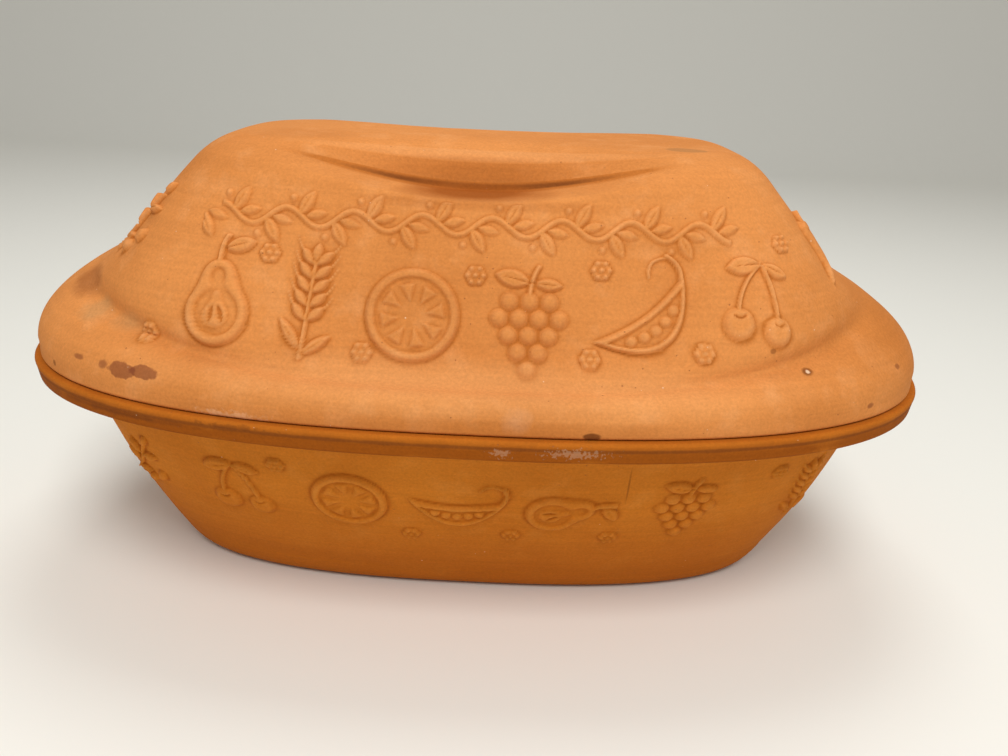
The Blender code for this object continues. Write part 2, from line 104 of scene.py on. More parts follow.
LID_HALF_LENGTH = RIM_HALF_LENGTH - LID_SETBACK
LID_HALF_WIDTH = RIM_HALF_WIDTH - LID_SETBACK
LID_BOTTOM = SEAT_HEIGHT + SEAT_GAP
RIM_UNDERSIDE = SEAT_HEIGHT - RIM_DEPTH
DISH_WALL_TOP = RIM_UNDERSIDE - FILLET_HEIGHT
HOLLOW_LEDGE = LID_RISE - HOLLOW_DEPTH

# How finely the carved outsides are divided. The plain insides have every fourth point.
LID_SEGMENTS = 1440
DISH_SEGMENTS = 1240
PLAIN_STEP = 4

# Points along the sections of the outsides. A shoulder and a hollow have as many in all.
FOOT_POINTS, DISH_WALL_POINTS, FILLET_POINTS, UNDER_POINTS = 24, 120, 8, 12
INNER_FOOT_POINTS, INNER_WALL_POINTS = 12, 24
RIM_FACE_POINTS, LIP_ROUND_POINTS, SEAT_POINTS, STEP_POINTS = 6, 5, 10, 3
EDGE_POINTS, FACE_POINTS, EAR_POINTS, LID_WALL_POINTS = 4, 9, 22, 118
SHOULDER_POINTS, FLAT_POINTS = 48, 8
LIP_POINTS, LEDGE_POINTS, RIDGE_POINTS, RIDGE_TOP_POINTS = 8, 12, 12, 16
WALL_ROW = 1 + EDGE_POINTS + FACE_POINTS + 2 * EAR_POINTS
CREASE_ROW = WALL_ROW + LID_WALL_POINTS + LIP_POINTS + LEDGE_POINTS
RIDGE_ROW = CREASE_ROW + EDGE_POINTS
RIDGE_EDGE_ROW = RIDGE_ROW + RIDGE_POINTS

# Depths of the carving, and of the unevenness of a hand-pressed wall, in metres.
LID_CARVING = 0.0021
DISH_CARVING = 0.0019
BORDER_CARVING = 0.0013
UNEVENNESS = 0.00022

# How dark the painted shade along the hollow's crease and on the ridge's wall is, and how pale
# the painted highlight along the ridge's edge is, as depths of carving that would look so.
CREASE_SHADE = 0.0030
CREASE_FADE = (0.1, 0.2, 0.4, 0.7, 1.0, 1.0, 0.9, 0.4)
RIDGE_SHADE = 0.00020
EDGE_HIGHLIGHT = 0.0005

# How far down the lid's top starts to hold the unevenness back from standing out.
TOP_CALM = 0.0060

# The lip round the top of the dish's rim, how far the face below it leans in at its foot, and how
# far the lip stands out over the face.
RIM_LIP_HEIGHT = 0.0026
RIM_FACE_LEAN = 0.0010
LIP_REACH = 0.0003

# The running border on the lid: how high up the wall it lies, as a share, its wave's length in
# metres, its waves to each side of the middle, and how far its vine swings, as a share of a wave.
BORDER_SHARE = 0.745
BORDER_WAVE = 0.0250
BORDER_WAVES = 4
BORDER_SWING = 0.12

INWARD = np.array((-1.0, 0.0))
OUTWARD = -INWARD
UPWARD = np.array((0.0, 1.0))


def at(reach, rise):
    """Give a point of a section, by its reach from the middle and its rise."""
    return np.array((reach, rise), float)


def unit(vector):
    """Scale a vector to a length of one."""
    return vector / np.linalg.norm(vector)


def line(start, end, count):
    """Give count points after start, on a straight line."""
    share = np.linspace(0, 1, count + 1)[1:, None]
    return start + (end - start) * share


def curve(start, leave, end, arrive, count):
    """Give count points after start, on a curve that leaves and arrives in two directions."""
    reach = np.linalg.norm(end - start) * HANDLE
    leave_handle = start + unit(leave) * reach
    arrive_handle = end - unit(arrive) * reach
    t = np.linspace(0, 1, count + 1)[1:, None]
    early = (1 - t) ** 3 * start + 3 * (1 - t) ** 2 * t * leave_handle
    late = 3 * (1 - t) * t ** 2 * arrive_handle + t ** 3 * end
    return early + late


def bowed(foot, top, bow):
    """Give the directions that a wall from foot to top leaves and arrives in."""
    chord = unit(top - foot)
    return chord + at(bow, 0), chord - at(bow, 0)


def inset(section, wall):
    """Move a section's points square to it, to the inner face of a wall."""
    along = np.gradient(section, axis=0)
    along /= np.linalg.norm(along, axis=1)[:, None]
    return section - wall * np.column_stack((along[:, 1], -along[:, 0]))


def ring(end, side, middle, squareness, count):
    """Place one ring of points from its end, side and middle section points."""
    turn = np.linspace(0, 2 * np.pi, count, endpoint=False)
    c, s = np.cos(turn), np.sin(turn)
    scale = (np.abs(c) ** squareness + np.abs(s) ** squareness) ** (-1 / squareness)
    x, y = end[0] * scale * c, side[0] * scale * s
    z = side[1] + (end[1] - side[1]) * np.abs(x / end[0]) ** END_CLIMB_POWER
    hollow = np.maximum(0, 1 - (x / HOLLOW_HALF_LENGTH) ** 2) ** HOLLOW_FADE_POWER
    y *= 1 + hollow * (middle[0] / side[0] - 1)
    z += hollow * (middle[1] - side[1])
    return np.column_stack((x, y, z))


def rings(end, side, middle, squareness, count):
    """Place a ring for each point of three sections."""
    placed = [ring(e, s, m, n, count) for e, s, m, n in zip(end, side, middle, squareness)]
    return np.array(placed)


def blend(place, start, end, start_value, end_value):
    """Change smoothly from one value to another between two places."""
    share = np.clip((place - start) / (end - start), 0, 1)
    return start_value + (end_value - start_value) * share * share * (3 - 2 * share)


def dish_wall(rim, overhang, lean, foot_points, wall_points):
    """Trace the outside of the dish's foot and wall, up to the fillet under its rim."""
    wall_top = at(rim - overhang, DISH_WALL_TOP)
    wall_foot = at(wall_top[0] - lean, FOOT_ROUND_HEIGHT)
    foot = at(wall_foot[0] - FOOT_ROUND_WIDTH, 0)
    leave, arrive = bowed(wall_foot, wall_top, DISH_BOW)
    rounded = curve(foot, OUTWARD, wall_foot, leave, foot_points)
    wall = curve(wall_foot, leave, wall_top, arrive, wall_points)
    return np.concatenate((foot[None], rounded, wall))


def dish_outside(rim, overhang, lean):
    """Trace the dish from its foot's edge over its rim to the mouth's edge."""
    wall = dish_wall(rim, overhang, lean, FOOT_POINTS, DISH_WALL_POINTS)
    wall_top = at(rim - overhang, DISH_WALL_TOP)
    fillet_end = at(wall_top[0] + FILLET_WIDTH, RIM_UNDERSIDE)
    step = rim - LID_SETBACK - SEAT_WIDTH - STEP_CLEARANCE
    step_top = SEAT_HEIGHT + STEP_RISE
    mouth = wall_top[0] - DISH_WALL + EDGE_ROUND
    face_foot = at(rim - RIM_FACE_LEAN, RIM_UNDERSIDE + EDGE_ROUND)
    under_end = face_foot - at(EDGE_ROUND, EDGE_ROUND)
    face_top = at(rim - LIP_REACH, SEAT_HEIGHT - RIM_LIP_HEIGHT)
    lip, seat_edge = at(rim, SEAT_HEIGHT - EDGE_ROUND), at(rim - EDGE_ROUND, SEAT_HEIGHT)
    runs = [
        wall,
        curve(wall_top, UPWARD, fillet_end, OUTWARD, FILLET_POINTS),
        line(fillet_end, under_end, UNDER_POINTS),
        curve(under_end, OUTWARD, face_foot, UPWARD, EDGE_POINTS),
        line(face_foot, face_top, RIM_FACE_POINTS),
        curve(face_top, UPWARD, lip, UPWARD, EDGE_POINTS),
        curve(lip, UPWARD, seat_edge, INWARD, LIP_ROUND_POINTS),
        line(seat_edge, at(step, SEAT_HEIGHT), SEAT_POINTS),
        line(at(step, SEAT_HEIGHT), at(step, step_top), STEP_POINTS),
        line(at(step, step_top), at(mouth, step_top), SEAT_POINTS),
    ]
    return np.concatenate(runs)


def dish_inside(rim, overhang, lean):
    """Trace the dish from its mouth's edge down to its floor."""
    wall = dish_wall(rim, overhang, lean, INNER_FOOT_POINTS, INNER_WALL_POINTS)
    inside = inset(wall, DISH_WALL)
    inside[:, 1] = np.maximum(inside[:, 1], DISH_FLOOR)
    mouth = at(inside[-1][0], SEAT_HEIGHT + STEP_RISE)
    edge = curve(mouth + at(EDGE_ROUND, 0), INWARD, mouth - at(0, EDGE_ROUND), -UPWARD, 3)
    return np.concatenate((edge, inside[::-1]))


def lid_outside(rim, corner, slope, foot, top, top_half=None):
    """Trace the lid from its seat's outer edge, over its ear and wall, to its top."""
    leave, arrive = bowed(foot, top, LID_BOW)
    face_foot, face = at(rim, EDGE_ROUND), at(rim, RIM_FACE_RISE)
    seat_edge = at(rim - EDGE_ROUND, 0)
    runs = [
        seat_edge[None],
        curve(seat_edge, OUTWARD, face_foot, UPWARD, EDGE_POINTS),
        line(face_foot, face, FACE_POINTS),
        curve(face, UPWARD, corner, slope, EAR_POINTS),
        curve(corner, slope, foot, leave, EAR_POINTS),
        curve(foot, leave, top, arrive, LID_WALL_POINTS),
    ]
    if top_half is None:
        runs.append(lid_hollow(top, arrive))
    else:
        runs.append(lid_shoulder(top, arrive, top_half))
    return np.concatenate(runs)


def lid_shoulder(start, arrive, top_half):
    """Trace the lid's shoulder and the flat of its top, after the top of its wall."""
    level = at(start[0] - SHOULDER_WIDTH, LID_RISE - TOP_CROWN)
    shoulder = curve(start, arrive, level, INWARD, SHOULDER_POINTS)
    flat = curve(level, INWARD, at(top_half, LID_RISE), INWARD, FLAT_POINTS)
    return np.concatenate((shoulder, flat))


def lid_hollow(lip, arrive):
    """Trace the hollow's lip, ledge and crease, and the ridge, after the top of the wall."""
    lip_end = at(lip[0] - HOLLOW_LIP_ROUND, HOLLOW_LEDGE)
    crease = at(RIDGE_HALF_WIDTH + CREASE_ROUND, HOLLOW_LEDGE)
    ridge = at(RIDGE_HALF_WIDTH, HOLLOW_LEDGE + CREASE_ROUND)
    edge = at(RIDGE_HALF_WIDTH - RIDGE_LEAN, LID_RISE - RIDGE_EDGE_DROP)
    edge_end = edge + at(-RIDGE_EDGE_ROUND, RIDGE_EDGE_ROUND)
    lean, slope = edge - ridge, at(-1, RIDGE_TOP_SLOPE)
    runs = [
        curve(lip, arrive, lip_end, INWARD, LIP_POINTS),
        line(lip_end, crease, LEDGE_POINTS),
        curve(crease, INWARD, ridge, lean, EDGE_POINTS),
        line(ridge, edge, RIDGE_POINTS),
        curve(edge, lean, edge_end, slope, EDGE_POINTS),
        curve(edge_end, slope, at(RIDGE_TOP_HALF_WIDTH, LID_RISE), INWARD, RIDGE_TOP_POINTS),
    ]
    return np.concatenate(runs)


def lid_inside(rim, outside):
    """Trace the lid's inside from its seat's inner edge to the underside of its top."""
    inner = inset(outside[WALL_ROW - 1:], LID_WALL)
    inner[:, 0] = np.minimum.accumulate(inner[:, 0])
    inner = inner[::PLAIN_STEP]
    seat = at(rim - SEAT_WIDTH, 0)
    ear = curve(seat, UPWARD, inner[0], inner[1] - inner[0], 12)
    return np.concatenate((seat[None], ear, inner[1:]))


def closing(section, steps):
    """Trace the flat that closes a piece, from a section's last point towards the middle."""
    return [at(section[-1][0] * share, section[-1][1]) for share in steps]


def surface_normals(grid):
    """Give the outward direction at each point of a grid of rings."""
    around = np.roll(grid, -1, axis=1) - np.roll(grid, 1, axis=1)
    along = np.gradient(grid, axis=0)
    normals = np.cross(around, along)
    return normals / np.maximum(np.linalg.norm(normals, axis=2), 1e-12)[:, :, None]


def disc(p, q, x, y, radius):
    """Give the distance out of a disc."""
    return np.hypot(p - x, q - y) - radius


def turned(p, q, x, y, degrees):
    """Give places as seen from a point, along and across a direction."""
    c, s = math.cos(math.radians(degrees)), math.sin(math.radians(degrees))
    return (p - x) * c + (q - y) * s, (q - y) * c - (p - x) * s


def oval(p, q, x, y, half_length, half_width, degrees=0):
    """Give roughly the distance out of an oval."""
    u, v = turned(p, q, x, y, degrees)
    return (np.hypot(u / half_length, v / half_width) - 1) * min(half_length, half_width)


def almond(p, q, start, end, half_width):
    """Give the distance out of a leaf shape, pointed at its start and its end."""
    x, y = (start[0] + end[0]) / 2, (start[1] + end[1]) / 2
    degrees = math.degrees(math.atan2(end[1] - start[1], end[0] - start[0]))
    half = math.hypot(end[0] - start[0], end[1] - start[1]) / 2
    u, v = turned(p, q, x, y, degrees)
    radius = (half ** 2 + half_width ** 2) / (2 * half_width)
    return np.hypot(u, np.abs(v) + radius - half_width) - radius


def bend(start, control, end, count=12):
    """Give points on a bend from start to end, drawn towards a control point."""
    t = np.linspace(0, 1, count)[:, None]
    start, control, end = (np.array(point, float) for point in (start, control, end))
    return (1 - t) ** 2 * start + 2 * (1 - t) * t * control + t ** 2 * end


def stroke(p, q, points, half_width, end_width=None):
    """Give the distance out of a stroke, which may taper to another width at its end."""
    nearest = np.full(np.shape(p), np.inf)
    widths = np.linspace(half_width, half_width if end_width is None else end_width, len(points))
    for (x0, y0), (x1, y1), w0, w1 in zip(points, points[1:], widths, widths[1:]):
        length = (x1 - x0) ** 2 + (y1 - y0) ** 2
        share = np.clip(((p - x0) * (x1 - x0) + (q - y0) * (y1 - y0)) / length, 0, 1)
        away = np.hypot(p - x0 - share * (x1 - x0), q - y0 - share * (y1 - y0))
        nearest = np.minimum(nearest, away - w0 - share * (w1 - w0))
    return nearest


def merge(first, second, soft):
    """Join two shapes with a soft fillet between them."""
    share = np.clip(0.5 + 0.5 * (second - first) / soft, 0, 1)
    return second + (first - second) * share - soft * share * (1 - share)


def relief(forms):
    """Raise and cut forms, each a distance, a height and the width of its soft edge."""
    height = 0
    for distance, rise, edge in forms:
        form = rise * np.sin(np.clip(-distance / edge, 0, 1) * np.pi / 2)
        height = np.maximum(height, form) if rise > 0 else height + form
    return height


def leaf_forms(p, q, start, end, half_width, rise=0.85):
    """Raise a small leaf with a cut midrib."""
    rib = [start, ((start[0] + 3 * end[0]) / 4, (start[1] + 3 * end[1]) / 4)]
    blade = almond(p, q, start, end, half_width)
    return [(blade, rise, 0.07), (stroke(p, q, rib, 0.03, 0.01), -0.45, 0.035)]


def pear(p, q):
    """Draw a halved pear with its core, stalk and a leaf."""
    body = merge(disc(p, q, 0, -0.38, 0.57), disc(p, q, 0.03, 0.26, 0.30), 0.34)
    core = merge(disc(p, q, 0, -0.42, 0.26), disc(p, q, 0.02, -0.06, 0.09), 0.30)
    forms = [(body, 1.0, 0.10), (body + 0.15, -0.50, 0.06), (core, 0.95, 0.10)]
    for side in (-1, 1):
        seed = almond(p, q, (side * 0.04, -0.24), (side * 0.13, -0.58), 0.065)
        forms.append((seed, -0.60, 0.05))
    forms.append((stroke(p, q, bend((0.03, 0.46), (0.04, 0.78), (0.16, 0.95)), 0.05), 1.0, 0.05))
    return forms + leaf_forms(p, q, (0.10, 0.72), (0.66, 0.84), 0.15)


def lemon(p, q, segments=8):
    """Draw a round slice of lemon with its peel and segments."""
    peel = disc(p, q, 0, 0, 0.84)
    half = math.pi / segments
    turn = (np.arctan2(q, p) + 0.2) % (2 * half) - half
    reach = np.hypot(p, q)
    segment = np.maximum(reach * np.sin(np.abs(turn) - half) + 0.045, reach - 0.60)
    segment = np.maximum(segment, 0.15 - reach)
    return [(peel, 1.0, 0.10), (peel + 0.15, -0.55, 0.06), (segment, 0.92, 0.09)]


def grapes(p, q):
    """Draw a bunch of grapes that hangs from a stalk with two leaves."""
    forms = [(stroke(p, q, bend((0, 0.36), (0.0, 0.72), (0.14, 0.94)), 0.05), 0.8, 0.05)]
    forms += leaf_forms(p, q, (0.02, 0.66), (-0.62, 0.80), 0.17)
    forms += leaf_forms(p, q, (0.06, 0.66), (0.58, 0.62), 0.12)
    for row, count in enumerate((3, 4, 3, 2, 1)):
        for place in range(count):
            x = (place - (count - 1) / 2) * 0.34
            forms.append((disc(p, q, x, 0.34 - row * 0.29, 0.175), 1.0, 0.14))
    return forms


def wheat(p, q):
    """Draw an ear of wheat with two blades at its stalk."""
    forms = [(stroke(p, q, [(0, -0.98), (0, 0.70)], 0.045), 0.75, 0.045)]
    for row in range(5):
        y = -0.34 + row * 0.24
        for side in (-1, 1):
            grain = almond(p, q, (side * 0.01, y), (side * 0.28, y + 0.30), 0.105)
            forms.append((grain, 1.0, 0.08))
            awn = bend((side * 0.24, y + 0.22), (side * 0.34, y + 0.36), (side * 0.40, y + 0.50))
            forms.append((stroke(p, q, awn, 0.025, 0.012), 0.6, 0.03))
    forms.append((almond(p, q, (0, 0.66), (0, 1.04), 0.11), 1.0, 0.08))
    forms += leaf_forms(p, q, (0, -0.86), (-0.46, -0.32), 0.11)
    return forms + leaf_forms(p, q, (0, -0.92), (0.48, -0.50), 0.11)


def olive(p, q):
    """Draw an olive sprig with leaves on both sides and two olives."""
    stem = [tuple(point) for point in bend((-0.62, -0.80), (-0.02, -0.20), (0.30, 0.72), 5)]
    forms = [(stroke(p, q, stem, 0.05), 0.8, 0.05)]
    for number, side in ((1, 1), (2, -1), (3, 1), (3, -1)):
        x, y = stem[number]
        tip = (x + 0.52, y + 0.12) if side > 0 else (x - 0.30, y + 0.46)
        forms += leaf_forms(p, q, (x, y), tip, 0.12, 1.0)
    forms += leaf_forms(p, q, stem[4], (0.46, 1.08), 0.11, 1.0)
    forms.append((oval(p, q, 0.12, -0.62, 0.22, 0.16, 30), 1.0, 0.10))
    return forms + [(oval(p, q, 0.56, -0.30, 0.21, 0.15, 60), 1.0, 0.10)]


def pepper(p, q):
    """Draw a curved pepper pod that hangs from its cap."""
    spine = bend((0.02, 0.45), (0.12, -0.50), (-0.42, -0.92), 12)
    forms = [(stroke(p, q, spine, 0.33, 0.04), 1.0, 0.14)]
    grooves = (
        ((0.14, 0.34), (0.24, -0.36), (-0.20, -0.74)),
        ((-0.10, 0.34), (-0.02, -0.20), (-0.22, -0.56)),
    )
    for start, control, end in grooves:
        forms.append((stroke(p, q, bend(start, control, end), 0.03, 0.01), -0.45, 0.04))
    forms.append((oval(p, q, 0.02, 0.58, 0.32, 0.16, 4), 1.15, 0.07))
    return forms + [(stroke(p, q, bend((0.03, 0.62), (0.02, 0.86), (0.20, 0.98)), 0.055), 1.0, 0.05)]


def pod(p, q):
    """Draw an open pea pod with its peas, a stalk and a tendril."""
    shell = almond(p, q + 0.30 - 0.52 * p ** 2, (-0.98, 0), (0.98, 0), 0.33)
    forms = [(shell, 1.0, 0.08), (shell + 0.10, -0.60, 0.05)]
    for x in (-0.44, -0.22, 0, 0.22, 0.44):
        forms.append((disc(p, q, x, 0.52 * x * x - 0.30, 0.13), 1.0, 0.10))
    forms.append((stroke(p, q, bend((0.88, 0.14), (1.04, 0.34), (0.92, 0.60)), 0.05), 0.9, 0.05))
    curl = bend((0.92, 0.56), (0.60, 0.78), (0.46, 0.48))
    return forms + [(stroke(p, q, curl, 0.03), 0.6, 0.035)]


def cherries(p, q):
    """Draw two cherries that hang from two leaves."""
    forms = []
    for x, y, radius in ((-0.40, -0.44, 0.33), (0.38, -0.56, 0.30)):
        forms.append((stroke(p, q, bend((x, y + 0.22), (x * 0.9, 0.34), (0.10, 0.74)), 0.045), 0.8, 0.045))
        forms.append((disc(p, q, x, y, radius), 1.0, 0.15))
        dimple = stroke(p, q, bend((x - 0.10, y + 0.16), (x, y + 0.06), (x + 0.12, y + 0.16)), 0.035)
        forms.append((dimple, -0.5, 0.04))
    forms += leaf_forms(p, q, (0.10, 0.74), (-0.62, 0.62), 0.19)
    return forms + leaf_forms(p, q, (0.12, 0.74), (0.66, 0.50), 0.14)


def rosette(p, q):
    """Draw a small flower of six round petals."""
    forms = [(disc(p, q, 0, 0, 0.80), 0.45, 0.16), (disc(p, q, 0, 0, 0.28), 1.0, 0.22)]
    for number in range(6):
        turn = math.pi * number / 3
        forms.append((disc(p, q, 0.60 * math.cos(turn), 0.60 * math.sin(turn), 0.28), 0.9, 0.24))
    return forms


# The friezes, as the CAD source has them: a motif, its turn about the roaster and tilt in
# degrees, its height up the wall as a share, and its half height in metres. The back of each
# piece repeats the front.
LID_FRIEZE = (
    (olive, -157.8, 8, 0.585, 0.0180),
    (pear, -135.6, 6, 0.28, 0.0215),
    (wheat, -121.8, -6, 0.25, 0.0210),
    (lemon, -102.3, 0, 0.20, 0.0205),
    (grapes, -77.7, 0, 0.195, 0.0210),
    (pod, -56.4, 38, 0.25, 0.0215),
    (cherries, -39.5, -4, 0.35, 0.0195),
    (pepper, -19.5, -6, 0.58, 0.0170),
    (rosette, -143.4, 0, -0.03, 0.0046),
    (rosette, -130.8, 0, 0.52, 0.0046),
    (rosette, -110.8, 0, -0.03, 0.0046),
    (rosette, -89.3, 0, 0.455, 0.0046),
    (rosette, -66.7, 0, -0.01, 0.0046),
    (rosette, -62.3, 0, 0.51, 0.0046),
    (rosette, -49.2, 0, 0.045, 0.0046),
    (rosette, -30.9, 0, 0.67, 0.0046),
    (cherries, 0, 0, 0.753, 0.0120),
)
DISH_FRIEZE = (
    (olive, -157, -14, 0.60, 0.0175),
    (cherries, -139, 4, 0.60, 0.0190),
    (lemon, -118, 0, 0.60, 0.0185),
    (pod, -92, 0, 0.60, 0.0200),
    (pear, -65, -70, 0.60, 0.0190),
    (grapes, -43, 0, 0.60, 0.0190),
    (wheat, -22, 12, 0.60, 0.0185),
    (lemon, 0, 0, 0.60, 0.0170),
    (rosette, -129, 0, 0.80, 0.0044),
    (rosette, -106, 0, 0.36, 0.0044),
    (rosette, -77, 0, 0.38, 0.0044),
    (rosette, -53, 0, 0.38, 0.0044),
    (rosette, -31, 0, 0.80, 0.0044),
)


def stamp(height, grid, normals, drawn, low, high, depth):
    """Add one motif to a wall's heights, at its place in front and turned half round behind."""
    motif, turn, tilt, share, size = drawn
    level = low + share * (high - low)
    for back in (0, math.pi):
        c, s = math.cos(math.radians(turn) + back), math.sin(math.radians(turn) + back)
        x, y, z = grid[:, :, 0], grid[:, :, 1], grid[:, :, 2]
        away = np.where(x * c + y * s > 0, np.hypot(y * c - x * s, z - level), np.inf)
        row, column = np.unravel_index(np.argmin(away), away.shape)
        centre, normal = grid[row, column], normals[row, column]
        right = unit(np.cross((0, 0, 1), normal))
        up = np.cross(normal, right)
        offset = grid - centre
        across, above = offset @ right / size, offset @ up / size
        near = (np.abs(across) < 1.3) & (np.abs(above) < 1.3) & (normals @ normal > 0.2)
        near &= np.abs(offset @ normal) < 2 * size
        p, q = turned(across[near], above[near], 0, 0, tilt)
        height[near] = np.maximum(height[near], depth * relief(motif(p, q)))


def border(u, v):
    """Draw a running vine along u, with v its place across, both in lengths of its wave."""
    slope = 2 * math.pi * BORDER_SWING * np.cos(2 * math.pi * u)
    vine = np.abs(v - BORDER_SWING * np.sin(2 * math.pi * u)) / np.sqrt(1 + slope ** 2) - 0.045
    forms = [(np.maximum(vine, np.abs(u) - BORDER_WAVES + 0.25), 0.9, 0.04)]
    for step in range(-2 * BORDER_WAVES, 2 * BORDER_WAVES):
        x, side = step / 2, -1 if step % 2 == 0 else 1
        upper = almond(u, v, (x - 0.06, side * 0.02), (x + 0.16, side * 0.36), 0.10)
        rib = stroke(u, v, [(x - 0.02, side * 0.08), (x + 0.12, side * 0.30)], 0.02, 0.01)
        lower = almond(u, v, (x + 0.032, side * 0.01), (x + 0.368, side * 0.08), 0.072)
        forms += [(lower, 0.9, 0.05), (upper, 1.0, 0.06), (rib, -0.5, 0.03)]
        forms.append((disc(u, v, x - 0.16, side * 0.25, 0.056), 0.9, 0.05))
    return forms


def lid_border(height, grid, level):
    """Carve the running border on the lid's wall, in front and behind."""
    front = np.where(grid[:, :, 1] < 0, 1, -1)
    u, v = grid[:, :, 0] * front / BORDER_WAVE, (grid[:, :, 2] - level) / BORDER_WAVE
    near = (np.abs(u) < BORDER_WAVES) & (np.abs(v) < 0.45)
    height[near] = np.maximum(height[near], BORDER_CARVING * relief(border(u[near], v[near])))


def unevenness(grid):
    """Give the gentle waves of a hand-pressed surface, at each point of a grid."""
    draw = np.random.default_rng(7)
    waves = np.zeros(grid.shape[:2])
    for size in (0.110, 0.070, 0.050, 0.034, 0.022, 0.016):
        for _ in range(3):
            direction = unit(draw.normal(size=3))
            phase = draw.uniform(0, 2 * np.pi)
            waves += size * np.sin(grid @ direction * 2 * np.pi / size + phase)
    return waves / 0.30


def blur(height, reach):
    """Average a grid of heights over its neighbours."""
    for _ in range(reach):
        around = (np.roll(height, 1, axis=1) + np.roll(height, -1, axis=1)) / 2
        padded = np.pad(height, ((1, 1), (0, 0)), mode="edge")
        height = (height + around + (padded[:-2] + padded[2:]) / 2) / 3
    return height


def skin(loops):
    """Give the faces between rings, each with as many points as the next or four times as many."""
    faces = []
    for first, second in zip(loops, loops[1:]):
        dense, sparse = (first, second) if len(first) >= len(second) else (second, first)
        ratio = len(dense) // len(sparse)
        i = np.arange(len(sparse))
        j = (i + 1) % len(sparse)
        steps = [dense[(i * ratio + k) % len(dense)] for k in range(ratio + 1)]
        columns = steps + [sparse[j], sparse[i]]
        if dense is second:
            columns = columns[::-1]
        faces.append(np.column_stack(columns))
    return faces


def make_piece(name, stack, carving, body, node, material):
    """Join rings into one closed piece that stands for a CAD node."""
    sizes = [len(points) for points in stack]
    starts = np.concatenate(((0,), np.cumsum(sizes)))
    loops = [np.arange(start, start + size) for start, size in zip(starts, sizes)]
    faces = [face for block in skin(loops) for face in block.tolist()]
    faces += [loops[0][::-1].tolist(), loops[-1].tolist()]
    mesh = bpy.data.meshes.new(name)
    mesh.from_pydata(np.concatenate(stack), [], faces)
    mesh.shade_smooth()
    shade = mesh.attributes.new("carving", "FLOAT", "POINT")
    shade.data.foreach_set("value", np.concatenate(carving).astype(np.float32))
    mesh.materials.append(material)
    piece = bpy.data.objects.new(name, mesh)
    bpy.context.scene.collection.objects.link(piece)
    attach(piece, body)
    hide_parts(node)
    return piece


def make_dish(material):
    """Make the dish, carved on the outside and plain inside."""
    end = dish_outside(RIM_HALF_LENGTH, END_OVERHANG, END_LEAN)
    side = dish_outside(RIM_HALF_WIDTH, SIDE_OVERHANG, SIDE_LEAN)
    squareness = blend(side[:, 1], DISH_WALL_TOP, RIM_UNDERSIDE, DISH_SQUARENESS, RIM_SQUARENESS)
    outside = rings(end, side, side, squareness, DISH_SEGMENTS)
    normals = surface_normals(outside)
    height = np.zeros(outside.shape[:2])
    for drawn in DISH_FRIEZE:
        stamp(height, outside, normals, drawn, FOOT_ROUND_HEIGHT, DISH_WALL_TOP, DISH_CARVING)
    # The carving attribute darkens the relief's grooves and pales its raised edges, partly as dirt and wear
    # and partly as painted shade and highlight.
    shade = height - blur(height, 6)
    wall = (outside[:, :, 2] > FOOT_ROUND_HEIGHT) & (outside[:, :, 2] < DISH_WALL_TOP)
    height += unevenness(outside) * UNEVENNESS * wall
    outside = outside + normals * height[:, :, None]

    plain = DISH_SEGMENTS // PLAIN_STEP
    inner_end = dish_inside(RIM_HALF_LENGTH, END_OVERHANG, END_LEAN)
    inner_side = dish_inside(RIM_HALF_WIDTH, SIDE_OVERHANG, SIDE_LEAN)
    inner_end = np.concatenate((inner_end, closing(inner_end, (0.7, 0.4, 0.1))))
    inner_side = np.concatenate((inner_side, closing(inner_side, (0.7, 0.4, 0.1))))
    n = np.where(inner_side[:, 1] > DISH_WALL_TOP, RIM_SQUARENESS, DISH_SQUARENESS)
    inside = rings(inner_end, inner_side, inner_side, n, plain)
    shares = (0.1, 0.4, 0.7, 0.95)
    foot_end = [at(end[0][0] * share, 0) for share in shares]
    foot_side = [at(side[0][0] * share, 0) for share in shares]
    foot = rings(foot_end, foot_side, foot_side, [DISH_SQUARENESS] * len(shares), plain)
    stack = list(foot) + list(outside) + list(inside)
    shades = [np.zeros(plain)] * len(foot) + list(shade) + [np.zeros(plain)] * len(inside)
    return make_piece("carved_dish", stack, shades, "dish", "base_dish", material)


